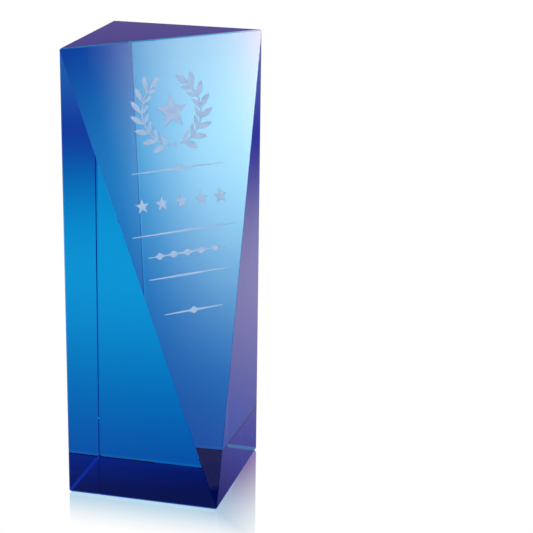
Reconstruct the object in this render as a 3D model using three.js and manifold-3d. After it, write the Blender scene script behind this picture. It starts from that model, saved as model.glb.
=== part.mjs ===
// A solid crystal tower award, in millimetres, with +Z up.
//
// The tower is one square column of optical crystal, turned so that one corner of its
// plan points to the front, -Y. A single inclined cut takes the front corner away: it
// runs from the left and right corners of the top down to the front corner of the base,
// and leaves a facet that is an inverted triangle. Every edge has a ground and polished
// bevel. The facet carries a sandblasted decoration of a laurel wreath, stars and rules.
// Each mark is a shallow pocket in the crystal, and the frosted skin on the floor of the
// pocket is a mesh of its own.
//
// The origin is the middle of the base.

import * as THREE from 'three';
import { ConvexGeometry } from 'three/addons/geometries/ConvexGeometry.js';
import { mergeVertices } from 'three/addons/utils/BufferGeometryUtils.js';
import Module from 'manifold-3d';

// Driving dimensions of the tower.
const TOWER_HEIGHT = 254;
const TOWER_SIDE = 87;

// Widths of the polished bevels, measured across each bevel.
const COLUMN_BEVEL = 1.1;
const TOP_BEVEL = 1.0;
const BASE_BEVEL = 1.6;
const FACET_SIDE_BEVEL = 0.3;

// The sandblasted marks: how deep the pockets are, how thick the frosted skin in each one
// is, and the gap between the skin and the walls and floor of its pocket.
const POCKET_DEPTH = 0.4;
const SKIN_THICKNESS = 0.3;
const SKIN_GAP = 0.05;

// Heights of the marks, measured along the facet from its lower tip, and the straight rules
// with the number of lozenges threaded on each.
const WREATH_HEIGHT = 222;
const STAR_ROW_HEIGHT = 173;
const RULES = [
  { name: 'upper_divider', height: 191, length: 56, lozenges: 1 },
  { name: 'upper_rule', height: 157, length: 64, lozenges: 0 },
  { name: 'lozenge_row', height: 145, length: 48, lozenges: 5 },
  { name: 'lower_rule', height: 133, length: 50, lozenges: 0 },
  { name: 'lower_divider', height: 113, length: 36, lozenges: 1 },
];

// The wreath, and the star and the tie in it. Angles are in degrees: the stem's from
// straight down, and the leaves' from the way the stem runs.
const WREATH_RADIUS = 18;
const STEM_WIDTH = 0.9;
const STEM_START = 9;
const STEM_END = 140;
const LEAF_PAIRS = 7;
const OUTER_LEAF = { length: 8.8, width: 3.1 };
const INNER_LEAF = { length: 6.4, width: 2.1 };
const LEAF_BASE = 0.9;
const LEAF_SPREAD = 42;
const WREATH_STAR_RADIUS = 10;
const WREATH_TIE_SIZE = 3.2;

// The stars, and the thickness of the rules and the size of their lozenges.
const STAR_POINTS = 5;
const STAR_INNER_RATIO = 0.42;
const ROW_STARS = 5;
const ROW_STAR_RADIUS = 4.4;
const ROW_STAR_PITCH = 12;
const RULE_THICKNESS = 1.3;
const RULE_END_THICKNESS = 0.4;
const LOZENGE_WIDTH = 5.2;
const LOZENGE_HEIGHT = 4.2;
const LOZENGE_PITCH = 8.5;

// Fineness of the curves, and the tolerances of the geometry code.
const LEAF_STEPS = 4;
const PARALLEL_LIMIT = 1e-6;
const PLANE_TOLERANCE = 1e-6;
const WELD_DISTANCE = 1e-4;

const wasm = await Module();
wasm.setup();

const halfDiagonal = TOWER_SIDE / Math.SQRT2;

// ---------------------------------------------------------------- solids

/** A closed geometry as a solid that can be joined and cut. */
function toSolid(geometry) {
  const bare = geometry.clone();
  bare.deleteAttribute('normal');
  bare.deleteAttribute('uv');
  const merged = mergeVertices(bare, WELD_DISTANCE);
  const vertProperties = new Float32Array(merged.attributes.position.array);
  const triVerts = new Uint32Array(merged.index.array);
  return new wasm.Manifold(new wasm.Mesh({ numProp: 3, vertProperties, triVerts }));
}

/** A joined or cut solid as a geometry with flat faces. */
function toGeometry(solid) {
  const { vertProperties, triVerts } = solid.getMesh();
  const indexed = new THREE.BufferGeometry();
  indexed.setAttribute('position', new THREE.BufferAttribute(vertProperties, 3));
  indexed.setIndex(new THREE.BufferAttribute(triVerts, 1));
  const geometry = indexed.toNonIndexed();
  geometry.computeVertexNormals();
  return geometry;
}

// ---------------------------------------------------------------- the column

/** The plane through a point, with its normal pointing out of the solid. */
function facePlane(normal, point) {
  return new THREE.Plane().setFromNormalAndCoplanarPoint(normal.clone().normalize(), point);
}

/** The plane of a bevel of the given width on the edge where two faces meet. */
function bevelPlane(first, second, edgePoint, width) {
  const normal = first.normal.clone().add(second.normal).normalize();
  const halfEdgeAngle = Math.PI / 2 - first.normal.angleTo(second.normal) / 2;
  const depth = width / (2 * Math.tan(halfEdgeAngle));
  return facePlane(normal, edgePoint.clone().addScaledVector(normal, -depth));
}

/** The point shared by three planes, or null where two of them are parallel. */
function sharedPoint(a, b, c) {
  const normals = new THREE.Matrix3().set(
    ...a.normal.toArray(),
    ...b.normal.toArray(),
    ...c.normal.toArray(),
  );
  if (Math.abs(normals.determinant()) < PARALLEL_LIMIT) {
    return null;
  }
  return new THREE.Vector3(-a.constant, -b.constant, -c.constant).applyMatrix3(normals.invert());
}

/** The convex solid that lies behind every one of the planes. */
function solidBehind(planes) {
  const corners = [];
  const isCorner = (point) =>
    planes.every((plane) => plane.distanceToPoint(point) < PLANE_TOLERANCE);
  const isNew = (point) => corners.every((corner) => corner.distanceTo(point) > WELD_DISTANCE);
  planes.forEach((a, i) => {
    planes.slice(i + 1).forEach((b, j) => {
      planes.slice(i + j + 2).forEach((c) => {
        const point = sharedPoint(a, b, c);
        if (point && isCorner(point) && isNew(point)) {
          corners.push(point);
        }
      });
    });
  });
  return new ConvexGeometry(corners);
}

/** A geometry with its points near z = 0 moved exactly onto it, so that a cut there is clean. */
function flattened(geometry) {
  const { position } = geometry.attributes;
  for (let i = 0; i < position.count; i += 1) {
    if (Math.abs(position.getZ(i)) < WELD_DISTANCE) {
      position.setZ(i, 0);
    }
  }
  return geometry;
}

function columnGeometry() {
  const corner = {
    front: new THREE.Vector3(0, -halfDiagonal, 0),
    right: new THREE.Vector3(halfDiagonal, 0, 0),
    back: new THREE.Vector3(0, halfDiagonal, 0),
    left: new THREE.Vector3(-halfDiagonal, 0, 0),
  };
  const topCentre = new THREE.Vector3(0, 0, TOWER_HEIGHT);
  const face = {
    frontLeft: facePlane(new THREE.Vector3(-1, -1, 0), corner.left),
    frontRight: facePlane(new THREE.Vector3(1, -1, 0), corner.right),
    backRight: facePlane(new THREE.Vector3(1, 1, 0), corner.right),
    backLeft: facePlane(new THREE.Vector3(-1, 1, 0), corner.left),
    base: facePlane(new THREE.Vector3(0, 0, -1), corner.front),
    top: facePlane(new THREE.Vector3(0, 0, 1), topCentre),
    facet: facePlane(new THREE.Vector3(0, -TOWER_HEIGHT, halfDiagonal), corner.front),
  };
  const topRight = corner.right.clone().setZ(TOWER_HEIGHT);
  const topLeft = corner.left.clone().setZ(TOWER_HEIGHT);
  const edges = [
    [face.frontLeft, face.backLeft, corner.left, COLUMN_BEVEL],
    [face.frontRight, face.backRight, corner.right, COLUMN_BEVEL],
    [face.backLeft, face.backRight, corner.back, COLUMN_BEVEL],
    [face.backLeft, face.top, topLeft, TOP_BEVEL],
    [face.backRight, face.top, topRight, TOP_BEVEL],
    [face.facet, face.top, topCentre, TOP_BEVEL],
    [face.frontLeft, face.base, corner.left, BASE_BEVEL],
    [face.frontRight, face.base, corner.right, BASE_BEVEL],
    [face.backRight, face.base, corner.right, BASE_BEVEL],
    [face.backLeft, face.base, corner.left, BASE_BEVEL],
    [face.facet, face.frontLeft, corner.front, FACET_SIDE_BEVEL],
    [face.facet, face.frontRight, corner.front, FACET_SIDE_BEVEL],
  ];
  const bevels = edges.map((edge) => bevelPlane(...edge));
  return solidBehind([...Object.values(face), ...bevels]);
}

// ---------------------------------------------------------------- the marks
//
// Each mark is an outline drawn anticlockwise on the facet, about the mark's own middle.

/** The points of a curve that bows from start to end, pulled towards a control point. */
function bow(start, control, end) {
  return new THREE.QuadraticBezierCurve(start, control, end).getPoints(LEAF_STEPS);
}

/**
 * A leaf as an open line: from its rear base, round its tip, to its front base. Heading
 * points to its tip, and rearward is square to that.
 */
function leafLine(leaf, rearBase, frontBase, heading, rearward) {
  const root = rearBase.clone().lerp(frontBase, 0.5);
  const place = (along, aside) =>
    root.clone().addScaledVector(heading, along).addScaledVector(rearward, aside);
  const tip = place(leaf.length, 0);
  const rearSide = bow(rearBase, place(leaf.length / 2, leaf.width), tip);
  const frontSide = bow(tip, place(leaf.length / 2, -leaf.width), frontBase);
  return [...rearSide, ...frontSide.slice(1)];
}

/** One branch of the wreath: side is 1 for the right branch and -1 for the left one. */
function wreathBranch(side) {
  const baseAngle = LEAF_BASE / 2 / WREATH_RADIUS;
  const spread = THREE.MathUtils.degToRad(LEAF_SPREAD);
  const start = THREE.MathUtils.degToRad(STEM_START);
  const end = THREE.MathUtils.degToRad(STEM_END);
  const outward = (angle) => new THREE.Vector2(side * Math.sin(angle), -Math.cos(angle));
  const forward = (angle) => new THREE.Vector2(side * Math.cos(angle), Math.sin(angle));
  const onEdge = (angle, edge) =>
    outward(angle).multiplyScalar(WREATH_RADIUS + (edge * STEM_WIDTH) / 2);

  // One edge of the stem with its leaves: edge is 1 outside the wreath and -1 inside it.
  const edgeLine = (edge, leaf) => {
    const line = [onEdge(start, edge)];
    for (let pair = 0; pair < LEAF_PAIRS; pair += 1) {
      const angle = THREE.MathUtils.lerp(start, end, (pair + 0.5) / LEAF_PAIRS);
      const aside = outward(angle).multiplyScalar(edge);
      const ahead = forward(angle);
      const turned = (turn) =>
        ahead.clone().multiplyScalar(Math.cos(turn)).addScaledVector(aside, Math.sin(turn));
      const heading = turned(spread);
      const rearward = turned(spread + Math.PI / 2);
      const rearBase = onEdge(angle - baseAngle, edge);
      const frontBase = onEdge(angle + baseAngle, edge);
      line.push(...leafLine(leaf, rearBase, frontBase, heading, rearward));
      line.push(onEdge(angle + (end - start) / LEAF_PAIRS / 2, edge));
    }
    return line;
  };
  const outer = edgeLine(1, OUTER_LEAF);
  const inner = edgeLine(-1, INNER_LEAF);
  const tip = leafLine(OUTER_LEAF, outer.pop(), inner.pop(), forward(end), outward(end));
  const outline = [...outer, ...tip, ...inner.reverse()];
  return side > 0 ? outline : outline.reverse();
}

/** A star with its middle at the given distance right of the mark's. */
function star(x, radius) {
  const corners = 2 * STAR_POINTS;
  return Array.from({ length: corners }, (_, corner) => {
    const reach = corner % 2 === 0 ? radius : radius * STAR_INNER_RATIO;
    const angle = Math.PI / 2 + (corner * 2 * Math.PI) / corners;
    return new THREE.Vector2(x + reach * Math.cos(angle), reach * Math.sin(angle));
  });
}

/** A straight rule that tapers towards both ends, with lozenges threaded on it. */
function rule(length, lozenges) {
  const halfLength = length / 2;
  const halfThickness = (x) =>
    THREE.MathUtils.lerp(RULE_THICKNESS, RULE_END_THICKNESS, Math.abs(x) / halfLength) / 2;
  const lower = [new THREE.Vector2(-halfLength, -halfThickness(halfLength))];
  if (lozenges === 0) {
    lower.push(new THREE.Vector2(0, -halfThickness(0)));
  }
  for (let bead = 0; bead < lozenges; bead += 1) {
    const middle = (bead - (lozenges - 1) / 2) * LOZENGE_PITCH;
    const left = middle - LOZENGE_WIDTH / 2;
    const right = middle + LOZENGE_WIDTH / 2;
    lower.push(
      new THREE.Vector2(left, -halfThickness(left)),
      new THREE.Vector2(middle, -LOZENGE_HEIGHT / 2),
      new THREE.Vector2(right, -halfThickness(right)),
    );
  }
  lower.push(new THREE.Vector2(halfLength, -halfThickness(halfLength)));
  const upper = lower.map((point) => new THREE.Vector2(point.x, -point.y)).reverse();
  return [...lower, ...upper];
}

function lozenge(size) {
  const reach = size / 2;
  return [
    new THREE.Vector2(reach, 0),
    new THREE.Vector2(0, reach),
    new THREE.Vector2(-reach, 0),
    new THREE.Vector2(0, -reach),
  ];
}

/** An anticlockwise outline with every side moved outward by a margin. */
function grown(outline, margin) {
  const outwardNormal = (from, to) =>
    new THREE.Vector2(to.y - from.y, from.x - to.x).normalize();
  return outline.map((point, i) => {
    const normalBefore = outwardNormal(outline.at(i - 1), point);
    const normalAfter = outwardNormal(point, outline[(i + 1) % outline.length]);
    const reach = margin / (1 + normalBefore.dot(normalAfter));
    return point.clone().addScaledVector(normalBefore.add(normalAfter), reach);
  });
}

/** An outline as a closed solid between two heights over the facet. */
function plateGeometry(outline, lower, upper) {
  const plate = new THREE.ExtrudeGeometry(new THREE.Shape(outline), {
    depth: upper - lower,
    bevelEnabled: false,
  });
  return plate.translate(0, 0, lower);
}

const marks = [
  { name: 'wreath_branch_left', height: WREATH_HEIGHT, outline: wreathBranch(-1) },
  { name: 'wreath_branch_right', height: WREATH_HEIGHT, outline: wreathBranch(1) },
  { name: 'wreath_tie', height: WREATH_HEIGHT - WREATH_RADIUS, outline: lozenge(WREATH_TIE_SIZE) },
  { name: 'wreath_star', height: WREATH_HEIGHT, outline: star(0, WREATH_STAR_RADIUS) },
];
for (const { name, height, length, lozenges } of RULES) {
  marks.push({ name, height, outline: rule(length, lozenges) });
}
for (let count = 0; count < ROW_STARS; count += 1) {
  const x = (count - (ROW_STARS - 1) / 2) * ROW_STAR_PITCH;
  marks.push({
    name: `row_star_${count + 1}`,
    height: STAR_ROW_HEIGHT,
    outline: star(x, ROW_STAR_RADIUS),
  });
}

// ---------------------------------------------------------------- materials

const crystal = new THREE.MeshStandardMaterial({ color: 0x1273bf, roughness: 0.04, metalness: 0 });
const frosted = new THREE.MeshStandardMaterial({ color: 0xa9bde0, roughness: 0.75, metalness: 0 });

// ---------------------------------------------------------------- the award

const award = new THREE.Group();

// The facet's own frame: x across it, y up along it from its lower tip, z out of it.
const facetFrame = new THREE.Group();
facetFrame.position.set(0, -halfDiagonal, 0);
facetFrame.rotation.x = Math.atan2(TOWER_HEIGHT, halfDiagonal);
facetFrame.updateMatrix();
award.add(facetFrame);

const intoFacetFrame = facetFrame.matrix.clone().invert();
let column = toSolid(flattened(columnGeometry().applyMatrix4(intoFacetFrame)));
const skinFloor = SKIN_GAP - POCKET_DEPTH;
for (const { name, height, outline } of marks) {
  const pocket = plateGeometry(grown(outline, SKIN_GAP), -POCKET_DEPTH, 0);
  column = column.subtract(toSolid(pocket.translate(0, height, 0)));

  const plate = plateGeometry(outline, skinFloor, skinFloor + SKIN_THICKNESS);
  const skin = new THREE.Mesh(plate, frosted.clone());
  skin.name = name;
  skin.position.y = height;
  facetFrame.add(skin);
}

const tower = new THREE.Mesh(toGeometry(column), crystal);
tower.name = 'crystal_tower';
facetFrame.add(tower);

export default award;
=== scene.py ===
"""The looks of the crystal tower award: polished blue crystal with sandblasted marks.

The camera sees a white background and a white floor, with a faint mirror image at the
award's foot, partly real gloss and partly a painted tint in the floor's glow, and the
sandblasted marks are lit by plain white. The clear crystal isn't: what it passes on and
what it mirrors come from a studio of its own, with painted pools of pale light and a
painted shadow of the award on a floor that glows deep blue, a pale backdrop, one tall
soft lamp and some light from above. The camera never sees that studio directly.
"""

import math

import bpy
from mathutils import Matrix, Vector

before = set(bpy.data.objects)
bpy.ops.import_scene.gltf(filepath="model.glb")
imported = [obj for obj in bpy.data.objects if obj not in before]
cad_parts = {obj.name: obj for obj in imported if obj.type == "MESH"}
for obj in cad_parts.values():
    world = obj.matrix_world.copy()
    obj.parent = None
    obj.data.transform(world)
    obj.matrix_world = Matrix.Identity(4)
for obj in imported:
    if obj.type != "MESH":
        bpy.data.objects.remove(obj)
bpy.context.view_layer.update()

# ------------------------------------------------------------------ the camera
# It looks along a line that passes a little right of and above the frame's origin.
CAMERA_AZIMUTH = math.radians(-30.9)
CAMERA_ELEVATION = math.radians(18.0)
CAMERA_ROLL = math.radians(0.83)
CAMERA_DISTANCE = 1.036
CAMERA_RIGHT = 0.0590
CAMERA_UP = 0.1186
CAMERA_LENS_MM = 119.9
SENSOR_MM = 36.0
CLIP_NEAR = 0.05
CLIP_FAR = 50.0

# ------------------------------------------------------------------ the crystal
CRYSTAL_IOR = 1.52
CRYSTAL_ABSORBS = (60.0, 10.0, 4.0)  # red, green and blue, per metre of glass
# Much rougher than this, the reflections no longer count as polished ones in by_ray.
CRYSTAL_ROUGHNESS = (0.0, 0.002)
CRYSTAL_TINTS = ((0.96, 0.985, 1.0, 1.0), (1.0, 1.0, 1.0, 1.0))
STREAKS_PER_METRE = 9.0
STREAK_DETAIL = 2.0
POLISH_PER_METRE = 60.0
POLISH_DETAIL = 4.0
POLISH_HARSHNESS = 0.6
POLISH_RANGE = (0.3, 0.7)
RIPPLES_PER_METRE = 40.0
RIPPLE_DETAIL = 1.0
RIPPLE_STRENGTH = 0.15
BUMP_HEIGHT = 0.0001

# ------------------------------------------------------------------ the sandblasted marks
FROST_BODY = ((0.31, 0.46, 0.70, 1.0), (0.37, 0.52, 0.76, 1.0))
FROST_PALE = (0.62, 0.74, 0.92, 1.0)
FROST_PALE_SHARE = 0.35
FROST_ROUGHNESS = (0.62, 0.82)
GRAINS_PER_METRE = 1800.0
GRAIN_DETAIL = 2.0
GRAIN_HARSHNESS = 0.7
GRAIN_RANGE = (0.3, 0.7)
PIT_RANGE = (0.55, 0.75)
CLOUDS_PER_METRE = 220.0
CLOUD_DETAIL = 3.0
CLOUD_RANGE = (0.35, 0.65)
GRAIN_STRENGTH = 0.5

# ------------------------------------------------------------------ the floor
FLOOR_HALF_SIDE = 8.0
FLOOR_GAP = 0.0002
# The mirror image fades out near the award, and differs in color from left to right. It is partly
# real gloss and partly painted: the floor's glow loses what the gloss takes, per color, which
# paints a tint into the mirror image, bluish on the left and faint violet on the right.
SHINE_ROUGHNESS = 0.03
SHINE_ENDS = (0.05, 0.12)
SHINE_TURNS = (-0.02, 0.05)
SHINE_LEFT = (0.57, 0.37, 0.24)
SHINE_RIGHT = (0.82, 0.89, 0.77)

# ------------------------------------------------------------------ the studio of the crystal
# Its floor glows deep blue, with soft pools of pale light painted on it: centre x, centre y,
# radius, strength.
LIGHT_POOLS = (
    (0.1, 0.5, 0.7, 0.8),  # behind the award: the facet and most of the left face
    (0.4, 0.1, 0.5, 0.5),  # right: the facet's left strip, and mirrored in the right face
    (-0.5, 0.3, 0.6, 0.25),  # left: a little more light in the right face
)
# Every light of this studio has this tint, on top of the floor's painted blue glow or the blue sky.
LIGHT_TINT = (1.1, 1.0, 0.75)
# The floor's painted glow, in blue, under the pools of light.
GROUND_GLOW_BLUE = 0.4
# Painted shadow of the award: the pools are weaker close to it, as its own shadow would make them.
FOOT_SHADE = (0.05, 0.4)
FOOT_SHADE_REST = 0.8
# Far away the floor's painted glow turns pale, and so does the foot of the backdrop.
FAR_LIGHT = 0.25
FAR_STARTS = (0.6, 1.2)

# Above the floor. Heights are the sine of the elevation, and the sky is darker high up.
BACKDROP_TOP = (0.12, 0.25)
SKY_COLOR = (0.11, 0.06, 0.45)
DARK_ABOVE = (0.39, 0.43)
DARK_SHARE = 0.2
# The lamp stands in front. Its light rises between two edges and falls between two more.
LAMP_AZIMUTH = math.radians(25)
LAMP_ACROSS = (0.0, 0.06, 0.12, 0.2)
LAMP_HEIGHTS = (0.03, 0.18, 0.2, 0.45)
LAMP_FRONT = (-0.4, -0.2)
LAMP_LIGHT = 6.5
OVERHEAD_HEIGHTS = (0.6, 0.75)
OVERHEAD_LIGHT = 0.6

WHITE = (1.0, 1.0, 1.0, 1.0)
LIGHT_BOUNCES = 32
OTHER_BOUNCES = 16


# ------------------------------------------------------------------ node helpers
def feed(tree, socket, value):
    """Links the socket to another node's output, or sets it to a plain value."""
    if isinstance(value, bpy.types.NodeSocket):
        tree.links.new(value, socket)
    else:
        socket.default_value = value


def add_node(tree, kind, **inputs):
    node = tree.nodes.new(kind)
    for name, value in inputs.items():
        feed(tree, node.inputs[name], value)
    return node


def calculate(tree, operation, *values):
    node = tree.nodes.new("ShaderNodeMath")
    node.operation = operation
    for socket, value in zip(node.inputs, values):
        feed(tree, socket, value)
    return node.outputs[0]


def measure(tree, operation, *vectors):
    """A number from vectors, such as their distance or dot product."""
    node = tree.nodes.new("ShaderNodeVectorMath")
    node.operation = operation
    for socket, vector in zip(node.inputs, vectors):
        feed(tree, socket, vector)
    return node.outputs["Value"]


def total(tree, *values):
    result = values[0]
    for value in values[1:]:
        result = calculate(tree, "ADD", result, value)
    return result


def product(tree, *values):
    result = values[0]
    for value in values[1:]:
        result = calculate(tree, "MULTIPLY", result, value)
    return result


def ease(tree, value, limits, first, last):
    """Eases from first to last while the value goes through its limits."""
    node = tree.nodes.new("ShaderNodeMapRange")
    node.interpolation_type = "SMOOTHSTEP"
    low, high = limits
    settings = {"Value": value, "From Min": low, "From Max": high, "To Min": first, "To Max": last}
    for name, setting in settings.items():
        feed(tree, node.inputs[name], setting)
    return node.outputs["Result"]


def window(tree, value, edges):
    """Rises between the first two edges and falls between the last two."""
    return product(tree, ease(tree, value, edges[:2], 0, 1), ease(tree, value, edges[2:], 1, 0))


def combine(tree, red, green, blue):
    return add_node(tree, "ShaderNodeCombineColor", Red=red, Green=green, Blue=blue).outputs[0]


def split(tree, vector):
    node = add_node(tree, "ShaderNodeSeparateXYZ", Vector=vector)
    return node.outputs["X"], node.outputs["Y"], node.outputs["Z"]


def noise(tree, scale, detail, harshness=0.5):
    """Cloudy noise between 0 and 1 in the piece's own metres."""
    place = tree.nodes.new("ShaderNodeTexCoord").outputs["Object"]
    settings = {"Vector": place, "Scale": scale, "Detail": detail, "Roughness": harshness}
    return add_node(tree, "ShaderNodeTexNoise", **settings).outputs["Fac"]


def mix_colors(tree, factor, first, second):
    node = tree.nodes.new("ShaderNodeMix")
    node.data_type = "RGBA"
    tree.links.new(factor, node.inputs["Factor"])
    first_socket, second_socket = [socket for socket in node.inputs if socket.type == "RGBA"]
    feed(tree, first_socket, first)
    feed(tree, second_socket, second)
    return [socket for socket in node.outputs if socket.type == "RGBA"][0]


def bump(tree, height, strength):
    settings = {"Height": height, "Strength": strength, "Distance": BUMP_HEIGHT}
    return add_node(tree, "ShaderNodeBump", **settings).outputs[0]


def tinted(tree, white, base):
    """The studio's pale light, over a base glow: the floor's painted blue, or the sky's color."""
    channels = [
        calculate(tree, "MULTIPLY_ADD", white, tint, color)
        for tint, color in zip(LIGHT_TINT, base)
    ]
    return combine(tree, *channels)


def emission(tree, color):
    return add_node(tree, "ShaderNodeEmission", Color=color).outputs[0]


def background(tree, color):
    return add_node(tree, "ShaderNodeBackground", Color=color).outputs[0]


def by_ray(tree, plain, studio_look):
    """The crystal's studio for rays that it passes on or mirrors, plain white for the rest."""
    path = tree.nodes.new("ShaderNodeLightPath")
    polish = product(tree, path.outputs["Is Singular Ray"], path.outputs["Is Glossy Ray"])
    clear = calculate(tree, "MAXIMUM", path.outputs["Is Transmission Ray"], polish)
    return mix_shaders(tree, clear, plain, studio_look)


def mix_shaders(tree, factor, first, second):
    """The first shader where the factor is 0, the second where it is 1."""
    node = tree.nodes.new("ShaderNodeMixShader")
    for socket, value in zip(node.inputs, (factor, first, second)):
        tree.links.new(value, socket)
    return node.outputs[0]


# ------------------------------------------------------------------ the materials
def new_material(name):
    material = bpy.data.materials.new(name)
    material.use_nodes = True
    return material, material.node_tree


def crystal():
    """Blue optical crystal: the color comes from the depth of the glass."""
    material, tree = new_material("crystal")
    shader = tree.nodes["Principled BSDF"]
    shader.inputs["IOR"].default_value = CRYSTAL_IOR
    shader.inputs["Transmission Weight"].default_value = 1.0
    tint = mix_colors(tree, noise(tree, STREAKS_PER_METRE, STREAK_DETAIL), *CRYSTAL_TINTS)
    patches = noise(tree, POLISH_PER_METRE, POLISH_DETAIL, POLISH_HARSHNESS)
    polish = ease(tree, patches, POLISH_RANGE, *CRYSTAL_ROUGHNESS)
    ripples = bump(tree, noise(tree, RIPPLES_PER_METRE, RIPPLE_DETAIL), RIPPLE_STRENGTH)
    feed(tree, shader.inputs["Base Color"], tint)
    feed(tree, shader.inputs["Roughness"], polish)
    feed(tree, shader.inputs["Normal"], ripples)
    density = max(CRYSTAL_ABSORBS)
    absorb = tree.nodes.new("ShaderNodeVolumeAbsorption")
    absorb.inputs["Density"].default_value = density
    absorb.inputs["Color"].default_value = (*[1 - share / density for share in CRYSTAL_ABSORBS], 1)
    feed(tree, tree.nodes["Material Output"].inputs["Volume"], absorb.outputs[0])
    return material


def frosted():
    """Sandblasted glass: pale, matt and finely pitted."""
    material, tree = new_material("etching")
    shader = tree.nodes["Principled BSDF"]
    grain = noise(tree, GRAINS_PER_METRE, GRAIN_DETAIL, GRAIN_HARSHNESS)
    clouds = ease(tree, noise(tree, CLOUDS_PER_METRE, CLOUD_DETAIL), CLOUD_RANGE, 0, 1)
    body = mix_colors(tree, clouds, *FROST_BODY)
    pits = ease(tree, grain, PIT_RANGE, 0, FROST_PALE_SHARE)
    feed(tree, shader.inputs["Base Color"], mix_colors(tree, pits, body, FROST_PALE))
    feed(tree, shader.inputs["Roughness"], ease(tree, grain, GRAIN_RANGE, *FROST_ROUGHNESS))
    feed(tree, shader.inputs["Normal"], bump(tree, grain, GRAIN_STRENGTH))
    return material


# ------------------------------------------------------------------ the floor
def floor_light(tree, place):
    """Painted pools of pale light on a painted deep blue glow, weaker close to the award where its
    shadow is painted, and far light round them.
    """
    reach = measure(tree, "LENGTH", place)
    white = 0.0
    # Painted pools of light on the floor.
    for pool_x, pool_y, radius, strength in LIGHT_POOLS:
        away = measure(tree, "DISTANCE", place, (pool_x, pool_y, 0))
        white = total(tree, white, ease(tree, away, (0, radius), strength, 0))
    # Painted shadow of the award on the floor's pools.
    white = product(tree, white, ease(tree, reach, FOOT_SHADE, FOOT_SHADE_REST, 1))
    white = total(tree, white, ease(tree, reach, FAR_STARTS, 0, FAR_LIGHT))
    return tinted(tree, white, (0.0, 0.0, GROUND_GLOW_BLUE))


def floor_seen(tree, x, y):
    """White to the camera, with a fading mirror image next to the award: real gloss over a glow
    that loses the gloss's share per color, a painted tint.
    """
    spread = total(tree, calculate(tree, "ABSOLUTE", x), calculate(tree, "ABSOLUTE", y))
    near = ease(tree, spread, SHINE_ENDS, 1, 0)
    shine = [
        product(tree, near, ease(tree, x, SHINE_TURNS, left, right))
        for left, right in zip(SHINE_LEFT, SHINE_RIGHT)
    ]
    # Painted tint: the glow loses the gloss's share per color, so the mirror image is tinted bluish
    # on the left and faint violet on the right.
    white = [calculate(tree, "SUBTRACT", 1.0, share) for share in shine]
    shine_color = combine(tree, *shine)
    gloss = add_node(tree, "ShaderNodeBsdfGlossy", Color=shine_color, Roughness=SHINE_ROUGHNESS)
    seen = tree.nodes.new("ShaderNodeAddShader")
    feed(tree, seen.inputs[0], emission(tree, combine(tree, *white)))
    feed(tree, seen.inputs[1], gloss.outputs[0])
    return seen.outputs[0]


def floor():
    mesh = bpy.data.meshes.new("floor")
    half = FLOOR_HALF_SIDE
    corners = [(-half, -half, 0), (half, -half, 0), (half, half, 0), (-half, half, 0)]
    mesh.from_pydata(corners, [], [(0, 1, 2, 3)])
    obj = bpy.data.objects.new("floor", mesh)
    bpy.context.scene.collection.objects.link(obj)
    obj.location.z = -FLOOR_GAP
    material, tree = new_material("floor")
    place = tree.nodes.new("ShaderNodeNewGeometry").outputs["Position"]
    x, y, _ = split(tree, place)
    look = by_ray(tree, emission(tree, WHITE), emission(tree, floor_light(tree, place)))
    camera_ray = tree.nodes.new("ShaderNodeLightPath").outputs["Is Camera Ray"]
    look = mix_shaders(tree, camera_ray, look, floor_seen(tree, x, y))
    feed(tree, tree.nodes["Material Output"].inputs["Surface"], look)
    obj.data.materials.append(material)


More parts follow.
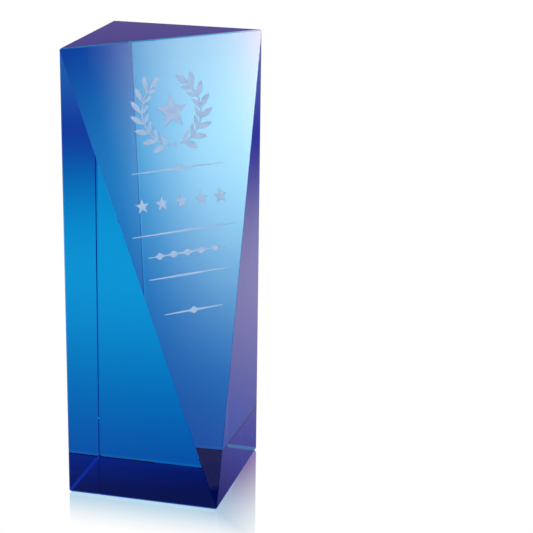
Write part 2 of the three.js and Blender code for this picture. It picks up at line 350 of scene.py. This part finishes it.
# ------------------------------------------------------------------ the studio
def sky_light(tree, x, y, height):
    """A pale backdrop low down, one tall soft lamp, and soft light from above."""
    along_x = product(tree, x, math.cos(LAMP_AZIMUTH))
    side = calculate(tree, "MULTIPLY_ADD", y, math.sin(LAMP_AZIMUTH), along_x)
    front = ease(tree, y, LAMP_FRONT, LAMP_LIGHT, 0)
    lamp = product(tree, front, window(tree, side, LAMP_ACROSS), window(tree, height, LAMP_HEIGHTS))
    backdrop = ease(tree, height, BACKDROP_TOP, FAR_LIGHT, 0)
    overhead = ease(tree, height, OVERHEAD_HEIGHTS, 0, OVERHEAD_LIGHT)
    dim = ease(tree, height, DARK_ABOVE, 1, DARK_SHARE)
    base = [product(tree, dim, share) for share in SKY_COLOR]
    return tinted(tree, total(tree, lamp, backdrop, overhead), base)


def studio():
    world = bpy.data.worlds.new("studio")
    bpy.context.scene.world = world
    world.use_nodes = True
    tree = world.node_tree
    direction = tree.nodes.new("ShaderNodeTexCoord").outputs["Generated"]
    light = sky_light(tree, *split(tree, direction))
    look = by_ray(tree, background(tree, WHITE), background(tree, light))
    feed(tree, tree.nodes["World Output"].inputs["Surface"], look)


# ------------------------------------------------------------------ the camera
def camera():
    level = math.cos(CAMERA_ELEVATION)
    sideways, forward = math.sin(CAMERA_AZIMUTH), math.cos(CAMERA_AZIMUTH)
    back = Vector((sideways * level, -forward * level, math.sin(CAMERA_ELEVATION)))
    right = Vector((forward, sideways, 0))
    up = back.cross(right)
    rolled_right = right * math.cos(CAMERA_ROLL) + up * math.sin(CAMERA_ROLL)
    rolled_up = up * math.cos(CAMERA_ROLL) - right * math.sin(CAMERA_ROLL)
    data = bpy.data.cameras.new("camera")
    data.sensor_width = SENSOR_MM
    data.lens = CAMERA_LENS_MM
    data.clip_start = CLIP_NEAR
    data.clip_end = CLIP_FAR
    obj = bpy.data.objects.new("camera", data)
    bpy.context.scene.collection.objects.link(obj)
    place = back * CAMERA_DISTANCE + rolled_right * CAMERA_RIGHT + rolled_up * CAMERA_UP
    turn = Matrix((rolled_right, rolled_up, back)).transposed()
    obj.matrix_world = Matrix.Translation(place) @ turn.to_4x4()
    bpy.context.scene.camera = obj


camera()
polished, sandblasted = crystal(), frosted()
for name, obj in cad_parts.items():
    for slot in obj.material_slots:
        slot.link = "OBJECT"
        slot.material = polished if name == "crystal_tower" else sandblasted
floor()
studio()
scene = bpy.context.scene
scene.view_settings.view_transform = "Standard"
scene.cycles.max_bounces = LIGHT_BOUNCES
scene.cycles.transmission_bounces = LIGHT_BOUNCES
scene.cycles.glossy_bounces = OTHER_BOUNCES
scene.cycles.transparent_max_bounces = OTHER_BOUNCES
